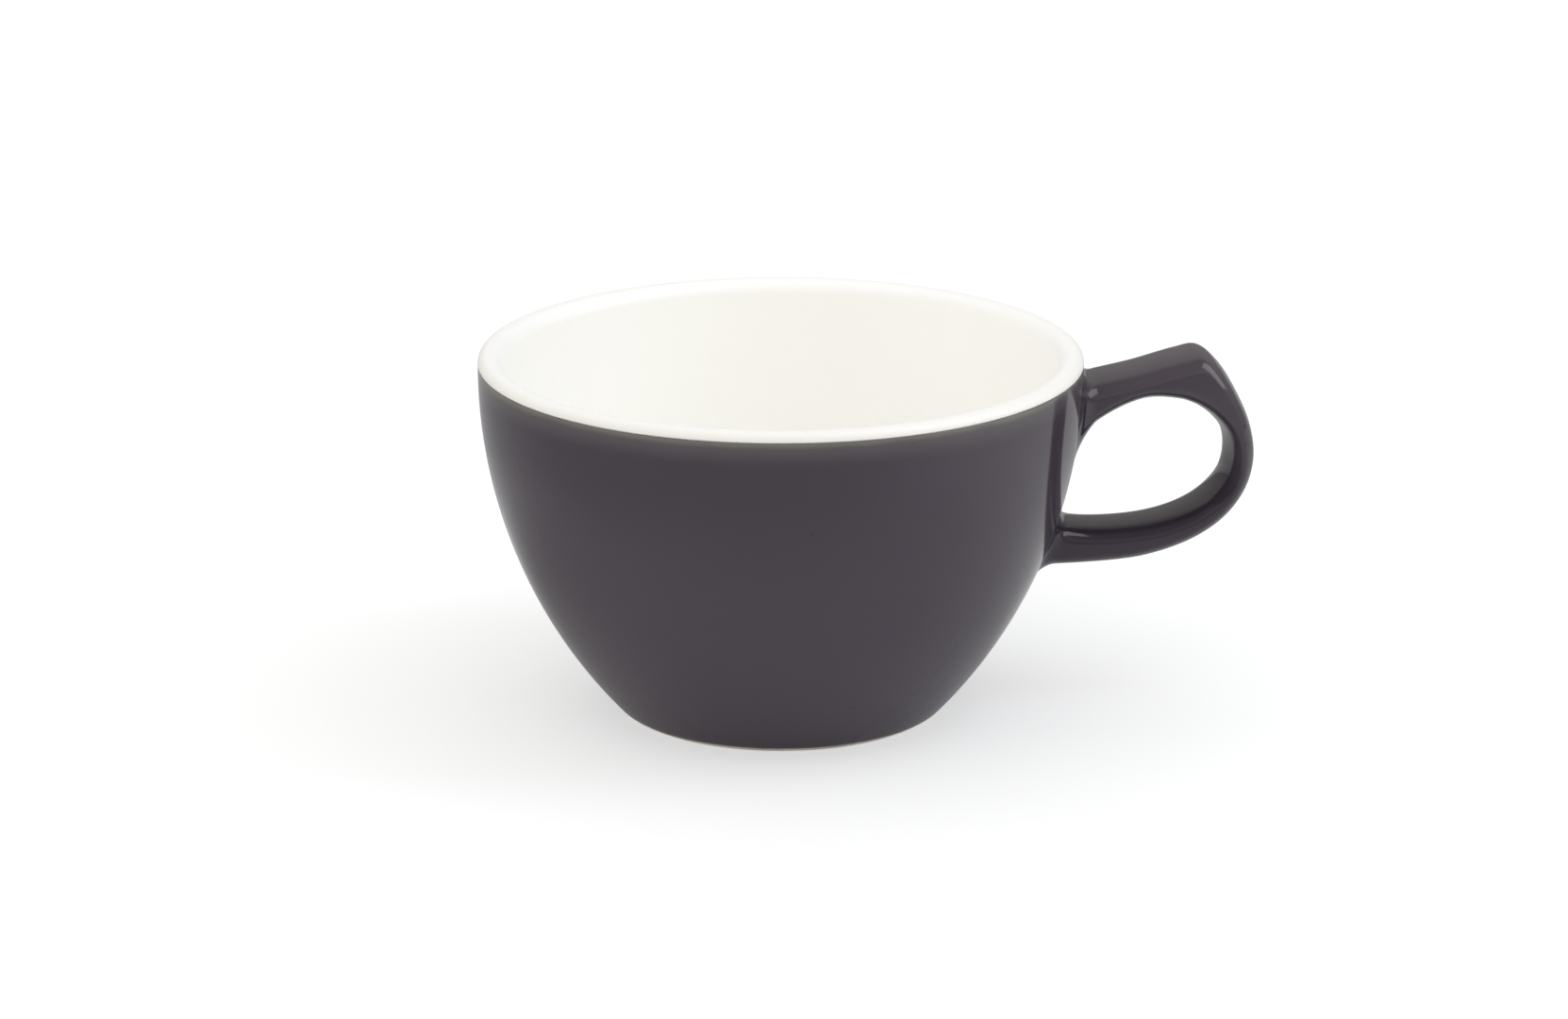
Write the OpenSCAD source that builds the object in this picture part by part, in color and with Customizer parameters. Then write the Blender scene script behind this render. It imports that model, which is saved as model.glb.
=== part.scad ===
// Cappuccino cup: a thick bowl on a low foot ring, with a loop handle that is
// made apart and stuck on with slip, under a charcoal coat outside and a white coat inside.
// Millimetres, origin on the cup's axis at table level, +Z up, handle along +X.

/* [Bowl] */
// Outer radius of the rim
rim_radius = 47.5; // [42:0.5:56]
// Height from the table to the top of the lip
cup_height = 57.7; // [48:0.1:72]
// Height of the upright band under the top of the lip
rim_band = 2.6; // [2:0.1:4]
// Wall thickness at the lip
lip_wall = 4.2; // [3.6:0.1:5.6]
// Rounding of the lip towards the outside
lip_outer_round = 1.3; // [0.8:0.1:1.8]
// Rounding of the lip towards the inside
lip_inner_round = 2.2; // [1:0.1:3]
// Wall thickness, measured level, where the wall meets the inside floor
base_wall = 5; // [4:0.1:7]
// Thickness of the floor over the recess
floor_thick = 5.2; // [3.5:0.1:8]
// Rounding between the inside floor and the wall
floor_round = 12; // [6:0.5:18]

/* [Foot] */
// Radius at which the wall's curve meets the table
foot_radius = 25.4; // [22:0.1:32]
// Rounding of the foot's outer edge
foot_round = 0.8; // [0.5:0.1:2.5]
// Width of the flat ring that the cup stands on
foot_land = 4.4; // [2:0.1:8]
// Depth of the recess
recess_depth = 2; // [1.4:0.1:4]
// Rounding at the top of the recess
recess_round = 1; // [0.5:0.1:1.3]

/* [Glaze] */
// Thickness of the glaze coats
coat = 0.3; // [0.2:0.05:0.5]
// Height of the bare clay left between the foot's rounding and the outside coat
foot_bare = 0.3; // [0.2:0.1:3]
// Height of the bare clay left in the recess
recess_bare = 0.5; // [0.2:0.1:0.9]
// Distance of the colour line below the lip's outer rounding
colour_drop = 0.1; // [0.1:0.1:1]

/* [Handle] */
// Reach of the handle's centre line beyond the rim
handle_reach = 25.6; // [20:0.1:32]
// Height between the centre lines of the two arms
handle_drop = 26.8; // [22:0.1:34]
// Distance of the upper arm's centre line below the top of the lip
handle_lowering = 5.3; // [4.8:0.1:8]
// Width of the handle at the thumb rest
upper_width = 14.4; // [10:0.1:16]
// Width of the handle at the lower arm
lower_width = 12; // [8:0.1:14]
// Swell of the handle's outer and inner sides towards their middle
handle_swell = 1.2; // [0:0.1:1.4]
// Rounding of the handle's edges
handle_edge = 2.2; // [1:0.1:2.5]
// Thickness of the upper arm
upper_arm_thick = 4.9; // [4.4:0.1:7]
// Thickness at the thumb rest
thumb_thick = 8.3; // [5.4:0.1:9.6]
// Thickness at the outer bend
bend_thick = 4.4; // [4:0.1:7]
// Thickness of the lower arm
lower_arm_thick = 6.1; // [4.6:0.1:7.6]
// Height of the upper arm's end where it leaves the joint
upper_neck_thick = 7.2; // [5.4:0.1:8]
// Height of the upper arm's end at the wall
upper_root_thick = 11; // [6:0.1:11.4]
// Height of the lower arm's end where it leaves the joint
lower_neck_thick = 7.2; // [5:0.1:7.6]
// Rise of the lower arm's upper edge across the joint, towards the wall
lower_root_rise = 1.6; // [0:0.1:2]
// Rise of the upper arm's top edge across the joint
upper_neck_rise = 0.7; // [0:0.1:1]
// Radius of the fillet where each arm meets the wall
joint_fillet = 2.5; // [0.8:0.1:2.8]
// Gap between the upper joint's fillet and the colour line
joint_gap = 1.9; // [0.5:0.1:4]

/* [Hidden] */
$fn = 180;
// Straight pieces that stand for the wall's arc, a small rounding and the inside floor's rounding
wall_steps = 40;
round_steps = 6;
floor_steps = 12;
// Points on each corner and each side of a handle section
corner_steps = 4;
side_steps = 4;
// Sections between two stations of the handle, around a fillet and across an end face
span_steps = 3;
fillet_steps = 4;
face_steps = 3;
// How far cuts run past the solids that they cut
overrun = 1;
clay_colour = [0.90, 0.88, 0.84];
white_colour = [0.96, 0.95, 0.92];
charcoal_colour = [0.28, 0.26, 0.28];

// The outer wall is one arc that stands upright under the rim band
wall_top = cup_height - rim_band;
wall_arc = arc_radius(rim_radius - foot_radius, wall_top);
wall_arc_r = rim_radius - wall_arc;
// The lip's inner rounding is limited by the band and by the lip's width
lip_round = min(lip_inner_round, rim_band - coat, lip_wall - lip_outer_round - coat);
// The inside wall is a second arc, from the lip's thickness to the base's
floor_height = recess_depth + floor_thick;
inside_top_radius = rim_radius - lip_wall;
inside_floor_radius = wall_radius(floor_height, 0) - base_wall;
inside_arc = arc_radius(inside_top_radius - inside_floor_radius, wall_top - floor_height);
inside_arc_r = inside_top_radius - inside_arc;
// The foot's outer rounding runs into the clay wall, and the ring and its recess lie inside it
foot_middle = corner_middle(wall_arc_r, wall_arc - coat, 0, foot_round);
foot_angle = corner_angle(wall_arc_r, foot_middle);
recess_radius = foot_middle[0] - foot_land;
// The outside coat runs from the bare foot up to the colour line
coat_low = wall_top + (wall_arc - coat) * sin(foot_angle) + foot_bare;
colour_line = cup_height - lip_outer_round - colour_drop;

// Stations along the handle, from the upper arm round the bend to the lower arm: share of the reach,
// share of the drop, section's tilt as a share of a quarter turn, and how its thickness is
// shared between the upper arm, the thumb rest, the bend and the lower arm
handle_station_shares = [
    [0.354, 0.032, 1.098, [1, 0, 0, 0]],
    [0.6, 0, 0.904, [0.4, 0.6, 0, 0]],
    [0.707, 0.003, 0.814, [0, 1, 0, 0]],
    [0.794, 0.062, 0.707, [0, 0.77, 0.23, 0]],
    [0.894, 0.184, 0.438, [0, 0.27, 0.73, 0]],
    [0.973, 0.324, 0.143, [0, 0.03, 0.97, 0]],
    [1, 0.484, -0.063, [0, 0.02, 0.98, 0]],
    [0.963, 0.65, -0.219, [0, 0, 1, 0]],
    [0.846, 0.796, -0.41, [0, 0, 0.67, 0.33]],
    [0.658, 0.91, -0.637, [0, 0, 0.39, 0.61]],
    [0.349, 0.991, -0.865, [0, 0, 0, 1]]
];
station_thicks = [upper_arm_thick, thumb_thick, bend_thick, lower_arm_thick];
// A handle edge takes up at most this share of the section's thickness
edge_limit_share = 0.46;
handle_top = cup_height - handle_lowering;
// Depth of a joint from the clay wall to the end of the arm
joint_depth = joint_fillet + coat;
// Each joint: height of its middle and of its section at the wall and at the arm, and which way is out
upper_root_top = colour_line - joint_gap - joint_fillet;
upper_joint_ends = [
    [upper_root_top - upper_root_thick / 2, upper_root_thick],
    [upper_root_top + upper_neck_rise - upper_neck_thick / 2, upper_neck_thick],
    1
];
lower_joint_ends = [
    [handle_top - handle_drop + lower_root_rise / 2, lower_neck_thick + lower_root_rise],
    [handle_top - handle_drop, lower_neck_thick],
    -1
];

function between(low, high, share) = low + (high - low) * share;

// Radius of an arc that stands upright at its top and comes in by a given width over a given height
function arc_radius(width, height) = (width * width + height * height) / (2 * width);

function reversed(list) = [for (k = [len(list) - 1:-1:0]) list[k]];

// A list without its first point
function rest(list) = [for (k = [1:len(list) - 1]) list[k]];

// Points on an arc, both ends included
function arc_points(middle, radius, from, to, steps) =
    [for (k = [0:steps])
        let (angle = between(from, to, k / steps))
        middle + radius * [cos(angle), sin(angle)]];

// Middle of the rounding between a level floor and an arc whose middle lies at wall_top
function corner_middle(arc_r, arc, low, corner) =
    [arc_r + sqrt(pow(arc - corner, 2) - pow(wall_top - low - corner, 2)), low + corner];

// Angle at which that rounding runs into the arc
function corner_angle(arc_r, middle) = atan2(middle[1] - wall_top, middle[0] - arc_r);

// Radius of the outer wall at a height, drawn in by an inset
function wall_radius(z, inset) = wall_arc_r + sqrt(pow(wall_arc - inset, 2) - pow(min(z - wall_top, 0), 2));

// How far out the outer wall lies, at a place beside the handle's middle plane
function wall_x(y, z, inset) = sqrt(pow(wall_radius(z, inset), 2) - y * y);

// Width of the handle at a height
function width_at(z) =
    between(upper_width, lower_width, min(max((handle_top - z) / handle_drop, 0), 1));

// Section of the handle: a rectangle with round corners whose outer and inner sides swell towards their
// middle, as [across the thickness, across the width]
function section(thick, width, edge, swell) =
    let (corner = min(edge, thick * edge_limit_share, width * edge_limit_share))
    let (side = [thick / 2 - corner, width / 2 - corner])
    let (corners = [[side[0], side[1]], [-side[0], side[1]], [-side[0], -side[1]], [side[0], -side[1]]])
    let (outline = [for (k = [0:3]) each concat(
        [for (step = [0:corner_steps])
            let (angle = 90 * (k + step / corner_steps))
            corners[k] + corner * [cos(angle), sin(angle)]],
        [for (step = [1:side_steps - 1])
            let (angle = 90 * (k + 1))
            between(corners[k], corners[(k + 1) % 4], step / side_steps) + corner * [cos(angle), sin(angle)]]
    )])
    [for (p = outline)
        [p[0] * (1 - 2 * swell / thick * pow(2 * p[1] / width, 2)), p[1]]];

// Slope of a smooth line at the second of three points, for a stretch of the given length
function slope(before, here, after, stretch) =
    let (gap_before = sqrt(norm(here - before)))
    let (gap_after = sqrt(norm(after - here)))
    stretch * ((here - before) / gap_before
        - (after - before) / (gap_before + gap_after) + (after - here) / gap_after);

// Point on a smooth line through a list of points, at a share of the stretch after point k
function line_point(points, k, share) =
    let (here = points[k])
    let (next = points[k + 1])
    let (stretch = sqrt(norm(next - here)))
    let (leave = slope(points[k - 1], here, next, stretch))
    let (arrive = slope(here, next, points[k + 2], stretch))
    let (square = share * share)
    let (cube = square * share)
    here * (2 * cube - 3 * square + 1) + leave * (cube - 2 * square + share)
        + next * (3 * square - 2 * cube) + arrive * (cube - square);

// Side view of the handle: its outer line (side 1) or its inner line (side -1), with both joints' ends
function joint_point(joint, at, side) =
    let (middle = joint[at][0])
    [wall_x(0, middle, coat - at * joint_depth), middle + side * joint[2] * joint[at][1] / 2];
function handle_line(side) = concat(
    [joint_point(upper_joint_ends, 0, side), joint_point(upper_joint_ends, 1, side)],
    [for (row = handle_station_shares)
        let (tilt = 90 * row[2])
        let (thick = row[3] * station_thicks)
        [rim_radius + row[0] * handle_reach, handle_top - row[1] * handle_drop]
            + side * thick / 2 * [cos(tilt), sin(tilt)]],
    [joint_point(lower_joint_ends, 1, side), joint_point(lower_joint_ends, 0, side)]
);

// One free section of the handle, bent near a joint by a share to the wall's roundness
function handle_ring(outer, inner, inset, bend_share) =
    let (middle = (outer + inner) / 2)
    let (across = (outer - inner) / norm(outer - inner))
    let (thick = norm(outer - inner) - 2 * inset)
    let (width = width_at(middle[1]) - 2 * inset)
    [for (p = section(thick, width, handle_edge - inset, handle_swell))
        let (z = middle[1] + across[1] * p[0])
        let (bend = wall_x(p[1], z, coat - joint_depth) - wall_x(0, middle[1], coat - joint_depth))
        [middle[0] + across[0] * p[0] + bend_share * bend, p[1], z]];

// All free sections of the handle between its two joints
function handle_rings(inset) =
    let (outer_line = handle_line(1))
    let (inner_line = handle_line(-1))
    let (last = len(outer_line) - 3)
    [for (k = [1:last]) for (step = [0:span_steps - 1])
        if (k > 1 || step > 0)
            let (share = step / span_steps)
            let (bend_share = k == 1 ? 1 - share : (k == last ? share : 0))
            let (outer = line_point(outer_line, k, share))
            let (inner = line_point(inner_line, k, share))
            handle_ring(outer, inner, inset, bend_share)];

// One section of a joint, at a share of the quarter turn of its fillet, from the wall to the arm. The
// handle's swell runs out towards the wall.
function joint_ring(joint, inset, turn_share) =
    let (reach = joint_fillet + inset)
    let (grown = joint_fillet - reach * sin(90 * turn_share))
    let (inset_here = coat - joint_depth + reach * cos(90 * turn_share))
    let (middle = between(joint[0][0], joint[1][0], turn_share))
    let (thick = between(joint[0][1], joint[1][1], turn_share) + 2 * grown)
    let (width = width_at(joint[1][0]) + 2 * grown)
    [for (p = section(thick, width, handle_edge + grown, handle_swell * turn_share))
        let (z = middle + joint[2] * p[0])
        [wall_x(p[1], z, inset_here), p[1], z]];

function joint_rings(joint, inset) =
    [for (step = [0:fillet_steps]) joint_ring(joint, inset, step / fillet_steps)];

// Smaller copies of a joint's end section, which make its end face follow the wall
function face_rings(joint, at) =
    let (ring = joint_ring(joint, coat, at))
    let (middle = joint[at][0])
    [for (step = [1:face_steps - 1])
        [for (p = ring)
            let (y = p[1] * step / face_steps)
            let (z = between(middle, p[2], step / face_steps))
            [wall_x(y, z, coat - at * joint_depth), y, z]]];

// Solid skinned over a row of sections, with both ends closed, or joined end to end
module skin(rings, joined = false) {
    count = len(rings[0]);
    last = len(rings) - 1;
    sides = [for (r = [0:joined ? last : last - 1]) for (k = [0:count - 1])
        let (next_ring = (r + 1) % len(rings))
        let (next = (k + 1) % count)
        each [
            [r * count + k, r * count + next, next_ring * count + next],
            [r * count + k, next_ring * count + next, next_ring * count + k]
        ]];
    ends = joined ? [] : [
        [for (k = [count - 1:-1:0]) k],
        [for (k = [0:count - 1]) last * count + k]
    ];
    polyhedron(points = [for (ring = rings) each ring], faces = concat(sides, ends), convexity = 6);
}

// Half section of the outside coat's face, from the bare foot to the rim band, drawn in by an inset
function charcoal_line(inset) =
    let (low_angle = asin((coat_low - wall_top) / (wall_arc - inset)))
    arc_points([wall_arc_r, wall_top], wall_arc - inset, low_angle, 0, wall_steps);

// Point on the upright band where the two colours meet
function colour_point(inset) = [[rim_radius - inset, colour_line]];

// Half section of the inside coat's face, over the lip and down to the middle of the floor
function white_line(inset) =
    let (corner = floor_round + inset)
    let (floor_middle = corner_middle(inside_arc_r, inside_arc + inset, floor_height - inset, corner))
    let (floor_angle = corner_angle(inside_arc_r, floor_middle))
    concat(
        arc_points([rim_radius - lip_outer_round, cup_height - lip_outer_round],
            lip_outer_round - inset, 0, 90, round_steps),
        arc_points([inside_top_radius + lip_round, cup_height - lip_round],
            lip_round - inset, 90, 180, round_steps),
        arc_points([inside_arc_r, wall_top], inside_arc + inset, 0, floor_angle, wall_steps),
        rest(arc_points(floor_middle, corner, floor_angle, -90, floor_steps)),
        [[0, floor_height - inset]]
    );

// Half section of the recess under the floor, drawn in by an inset
function recess_line(inset) = concat(
    [[0, recess_depth - inset]],
    arc_points([recess_radius - recess_round, recess_depth - recess_round],
        recess_round - inset, 90, 0, round_steps),
    [[recess_radius - inset, recess_bare]]
);

// Fired white clay: bowl and foot ring in one, bare only under the foot
module body() {
    foot_edge = concat(
        [[recess_radius, 0]],
        arc_points(foot_middle, foot_round, -90, foot_angle, round_steps)
    );
    color(clay_colour) rotate_extrude()
        polygon(concat(foot_edge, charcoal_line(coat), colour_point(coat), white_line(coat), recess_line(0)));
}

// Fired white clay loop, cast apart
module handle() {
    rings = concat(
        face_rings(upper_joint_ends, 1),
        [joint_ring(upper_joint_ends, coat, 1)],
        handle_rings(coat),
        [joint_ring(lower_joint_ends, coat, 1)],
        reversed(face_rings(lower_joint_ends, 1))
    );
    color(clay_colour) skin(rings);
}

// Fired slip that sticks one arm to the wall, wiped to a fillet all round
module joint(ends) {
    rings = concat(
        face_rings(ends, 0),
        joint_rings(ends, coat),
        reversed(face_rings(ends, 1))
    );
    color(clay_colour) skin(ends[2] > 0 ? rings : reversed(rings));
}

module upper_joint() {
    joint(upper_joint_ends);
}

module lower_joint() {
    joint(lower_joint_ends);
}

// White coat: the inside, over the lip and down to the colour line
module inside_glaze() {
    color(white_colour) rotate_extrude()
        polygon(concat(colour_point(0), white_line(0), reversed(white_line(coat)), colour_point(coat)));
}

// Charcoal coat on the wall, from the bare foot to the colour line, open where the joints stand
module outside_glaze() {
    face = concat(charcoal_line(0), colour_point(0));
    back = concat(charcoal_line(coat), colour_point(coat));
    color(charcoal_colour) difference() {
        rotate_extrude() polygon(concat(face, reversed(back)));
        for (ends = [upper_joint_ends, lower_joint_ends])
            rotate([90, 0, 90]) linear_extrude(rim_radius + overrun)
                polygon([for (p = joint_ring(ends, coat, 0)) [p[1], p[2]]]);
    }
}

// Charcoal coat over the handle and the fillets of both joints
module handle_glaze() {
    outside = concat(
        joint_rings(upper_joint_ends, 0),
        handle_rings(0),
        reversed(joint_rings(lower_joint_ends, 0))
    );
    inside = concat(
        joint_rings(upper_joint_ends, coat),
        handle_rings(coat),
        reversed(joint_rings(lower_joint_ends, coat))
    );
    color(charcoal_colour) skin(concat(outside, reversed(inside)), joined = true);
}

// Charcoal coat in the recess, ending above the wiped foot
module base_glaze() {
    color(charcoal_colour) rotate_extrude() polygon(concat(recess_line(0), reversed(recess_line(coat))));
}

body();
handle();
upper_joint();
lower_joint();
inside_glaze();
outside_glaze();
handle_glaze();
base_glaze();
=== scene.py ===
import math

import bpy
import numpy as np
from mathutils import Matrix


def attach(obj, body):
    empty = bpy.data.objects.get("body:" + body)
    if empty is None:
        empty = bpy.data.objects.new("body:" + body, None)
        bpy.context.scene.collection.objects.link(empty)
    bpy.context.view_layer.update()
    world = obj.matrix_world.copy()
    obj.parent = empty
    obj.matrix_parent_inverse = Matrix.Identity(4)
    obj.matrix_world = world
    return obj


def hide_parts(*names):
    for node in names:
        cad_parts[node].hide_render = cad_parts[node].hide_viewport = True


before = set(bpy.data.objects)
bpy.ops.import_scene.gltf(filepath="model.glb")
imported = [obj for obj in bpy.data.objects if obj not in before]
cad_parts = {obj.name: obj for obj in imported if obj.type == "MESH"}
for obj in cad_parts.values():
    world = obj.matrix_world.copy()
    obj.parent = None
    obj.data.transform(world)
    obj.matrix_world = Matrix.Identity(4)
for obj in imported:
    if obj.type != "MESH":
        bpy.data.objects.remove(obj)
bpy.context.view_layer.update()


# Clay bowl
# White stoneware, jiggered in one piece: a round-bellied bowl on a low foot ring with a shallow recess.
# All the glaze lies on it, and it shows only as the bare ring that the cup stands on.
rim_radius = 0.0475
cup_height = 0.0577
rim_band = 0.0026
lip_wall = 0.0042
lip_outer_round = 0.0013
lip_inner_round = 0.0022
base_wall = 0.005
floor_height = 0.0072
floor_round = 0.012
foot_radius = 0.0254
foot_round = 0.0008
foot_land = 0.0044
foot_inner_round = 0.0004
foot_bare = 0.0003
recess_depth = 0.002
recess_round = 0.001
recess_bare = 0.0005
coat = 0.0003
colour_line = 0.0563
outer_lip_steps = 14
inner_lip_steps = 18
wall_steps = 44
floor_round_steps = 24
floor_steps = 8
recess_steps = 10
foot_steps = 8
foot_flat_steps = 6
weld = 0.000002


def arc_radius(width, height):
    """Radius of an arc that stands upright at its top and comes in by a width over a height."""
    return (width * width + height * height) / (2 * width)


def arc(middle, radius, start, end, steps):
    """Points on an arc in the half section, as distance from the axis and height."""
    turn = np.radians(np.linspace(start, end, steps + 1))
    return np.stack([middle[0] + radius * np.cos(turn), middle[1] + radius * np.sin(turn)], axis=1)


def corner_middle(arc_axis, radius, low, corner):
    """Middle of the rounding between a level floor and an arc whose middle is level with the rim band."""
    height = wall_top - low - corner
    return np.array([arc_axis + math.sqrt((radius - corner) ** 2 - height ** 2), low + corner])


def corner_angle(arc_axis, middle):
    """Angle on the arc at which such a rounding meets it."""
    return math.degrees(math.atan2(middle[1] - wall_top, middle[0] - arc_axis))


wall_top = cup_height - rim_band
wall_arc = arc_radius(rim_radius - foot_radius, wall_top)
wall_axis = rim_radius - wall_arc


def wall_radius(height, inset=0.0):
    """Radius of the outer wall at a height, drawn in by an inset."""
    return wall_axis + np.sqrt((wall_arc - inset) ** 2 - np.minimum(height - wall_top, 0) ** 2)


inside_top = rim_radius - lip_wall
inside_arc = arc_radius(inside_top - (wall_radius(floor_height) - base_wall), wall_top - floor_height)
inside_axis = inside_top - inside_arc
foot_middle = corner_middle(wall_axis, wall_arc - coat, 0, foot_round)
foot_angle = corner_angle(wall_axis, foot_middle)
recess_radius = foot_middle[0] - foot_land
coat_low = wall_top + (wall_arc - coat) * math.sin(math.radians(foot_angle)) + foot_bare


def inside_line(inset):
    """Half section of the inside, over the lip and down to the middle of the floor."""
    corner = floor_round + inset
    middle = corner_middle(inside_axis, inside_arc + inset, floor_height - inset, corner)
    angle = corner_angle(inside_axis, middle)
    outer_lip = (rim_radius - lip_outer_round, cup_height - lip_outer_round)
    inner_lip = (inside_top + lip_inner_round, cup_height - lip_inner_round)
    flat = np.linspace(middle[0], 0, floor_steps + 1)[1:]
    return np.concatenate([
        arc(outer_lip, lip_outer_round - inset, 0, 90, outer_lip_steps),
        arc(inner_lip, lip_inner_round - inset, 90, 180, inner_lip_steps),
        arc((inside_axis, wall_top), inside_arc + inset, 0, angle, wall_steps),
        arc(middle, corner, angle, -90, floor_round_steps)[1:],
        np.stack([flat, np.full(floor_steps, floor_height - inset)], axis=1),
    ])


def recess_line(inset):
    """Half section of the recess, from its middle out and down to the bare foot."""
    middle = (recess_radius - recess_round, recess_depth - recess_round)
    flat = np.linspace(0, middle[0], floor_steps + 1)[:-1]
    return np.concatenate([
        np.stack([flat, np.full(floor_steps, recess_depth - inset)], axis=1),
        arc(middle, recess_round - inset, 90, 0, recess_steps),
    ])


def node(tree, kind, inputs=None, **settings):
    """Adds a node to a tree, sets it and joins its inputs to values or to other nodes' sockets."""
    made = tree.nodes.new(kind)
    for name, value in settings.items():
        setattr(made, name, value)
    for key, value in (inputs or {}).items():
        if isinstance(value, bpy.types.NodeSocket):
            tree.links.new(value, made.inputs[key])
        else:
            made.inputs[key].default_value = value
    return made


def wheel_tree():
    """Geometry Nodes for a piece turned on the wheel: a half section's points are swept round the axis."""
    tree = bpy.data.node_groups.new("turned_on_the_wheel", "GeometryNodeTree")
    tree.is_modifier = True
    tree.interface.new_socket("Half section", in_out="INPUT", socket_type="NodeSocketGeometry")
    tree.interface.new_socket("Steps round", in_out="INPUT", socket_type="NodeSocketInt")
    tree.interface.new_socket("Finish", in_out="INPUT", socket_type="NodeSocketMaterial")
    tree.interface.new_socket("Turned piece", in_out="OUTPUT", socket_type="NodeSocketGeometry")
    given = node(tree, "NodeGroupInput").outputs
    points = node(tree, "GeometryNodeAttributeDomainSize",
                  {"Geometry": given["Half section"]}).outputs["Point Count"]
    columns = node(tree, "ShaderNodeMath", {0: given["Steps round"], 1: 1.0}, operation="ADD").outputs[0]
    grid = node(tree, "GeometryNodeMeshGrid", {"Vertices X": columns, "Vertices Y": points}).outputs["Mesh"]
    index = node(tree, "GeometryNodeInputIndex").outputs[0]
    along = node(tree, "FunctionNodeIntegerMath", {0: index, 1: points}, operation="MODULO").outputs[0]
    round_step = node(tree, "FunctionNodeIntegerMath", {0: index, 1: points}, operation="DIVIDE").outputs[0]
    place = node(tree, "GeometryNodeInputPosition").outputs[0]
    sample = node(tree, "GeometryNodeSampleIndex",
                  {"Geometry": given["Half section"], "Value": place, "Index": along},
                  data_type="FLOAT_VECTOR").outputs["Value"]
    share = node(tree, "ShaderNodeMath", {0: round_step, 1: given["Steps round"]},
                 operation="DIVIDE").outputs[0]
    angle = node(tree, "ShaderNodeMath", {0: share, 1: math.tau}, operation="MULTIPLY").outputs[0]
    swept = node(tree, "ShaderNodeVectorRotate", {"Vector": sample, "Angle": angle},
                 rotation_type="Z_AXIS").outputs[0]
    shape = node(tree, "GeometryNodeSetPosition", {"Geometry": grid, "Position": swept}).outputs[0]
    closed = node(tree, "GeometryNodeMergeByDistance", {"Geometry": shape, "Distance": weld}).outputs[0]
    smooth = node(tree, "GeometryNodeSetShadeSmooth", {"Geometry": closed}).outputs[0]
    real = node(tree, "GeometryNodeRealizeInstances", {"Geometry": smooth}).outputs[0]
    finished = node(tree, "GeometryNodeSetMaterial",
                    {"Geometry": real, "Material": given["Finish"]}).outputs[0]
    node(tree, "NodeGroupOutput", {"Turned piece": finished})
    return tree


wheel = wheel_tree()


def turned(name, half_section, finish, steps=300):
    """A plain mesh of one turned piece. Its half section runs so that the clay or glaze lies on its left."""
    line = bpy.data.meshes.new(name + "_half_section")
    points = [(radius, 0.0, height) for radius, height in half_section]
    line.from_pydata(points, [(k, k + 1) for k in range(len(points) - 1)], [])
    piece = bpy.data.objects.new(name, line)
    bpy.context.scene.collection.objects.link(piece)
    turning = piece.modifiers.new("turning", "NODES")
    turning.node_group = wheel
    sockets = {item.name: item.identifier for item in wheel.interface.items_tree if item.in_out == "INPUT"}
    turning[sockets["Steps round"]] = steps
    turning[sockets["Finish"]] = finish
    bpy.context.view_layer.update()
    evaluated = piece.evaluated_get(bpy.context.evaluated_depsgraph_get())
    mesh = bpy.data.meshes.new_from_object(evaluated)
    mesh.name = name
    piece.modifiers.remove(turning)
    piece.data = mesh
    bpy.data.meshes.remove(line)
    return piece


def new_finish(name):
    """A material with an empty Principled BSDF, its tree and the piece's own coordinates."""
    finish = bpy.data.materials.new(name)
    finish.use_nodes = True
    tree = finish.node_tree
    place = node(tree, "ShaderNodeTexCoord").outputs["Object"]
    return finish, tree, tree.nodes["Principled BSDF"], place


clay, tree, shader, place = new_finish("bare_clay")
grain = node(tree, "ShaderNodeTexNoise", {"Vector": place, "Scale": 3200.0, "Detail": 3.0, "Roughness": 0.7})
patches = node(tree, "ShaderNodeTexNoise", {"Vector": place, "Scale": 130.0, "Detail": 4.0, "Roughness": 0.6})
clay_mix = node(tree, "ShaderNodeValToRGB", {"Fac": patches.outputs["Fac"]})
clay_mix.color_ramp.elements[0].position = 0.32
clay_mix.color_ramp.elements[0].color = (0.60, 0.56, 0.50, 1)
clay_mix.color_ramp.elements[1].position = 0.62
clay_mix.color_ramp.elements[1].color = (0.76, 0.72, 0.65, 1)
grit = node(tree, "ShaderNodeValToRGB", {"Fac": grain.outputs["Fac"]})
grit.color_ramp.elements[0].position = 0.25
grit.color_ramp.elements[0].color = (0.62, 0.58, 0.52, 1)
grit.color_ramp.elements[1].position = 0.5
grit.color_ramp.elements[1].color = (1, 1, 1, 1)
clay_colour = node(tree, "ShaderNodeMix", {"Factor": 1.0}, data_type="RGBA", blend_type="MULTIPLY")
tree.links.new(clay_mix.outputs["Color"], clay_colour.inputs["A"])
tree.links.new(grit.outputs["Color"], clay_colour.inputs["B"])
tree.links.new(clay_colour.outputs["Result"], shader.inputs["Base Color"])
clay_bump = node(tree, "ShaderNodeBump",
                 {"Strength": 0.6, "Distance": 0.00006, "Height": grain.outputs["Fac"]})
tree.links.new(clay_bump.outputs["Normal"], shader.inputs["Normal"])
shader.inputs["Roughness"].default_value = 0.88
shader.inputs["IOR"].default_value = 1.45

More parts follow.
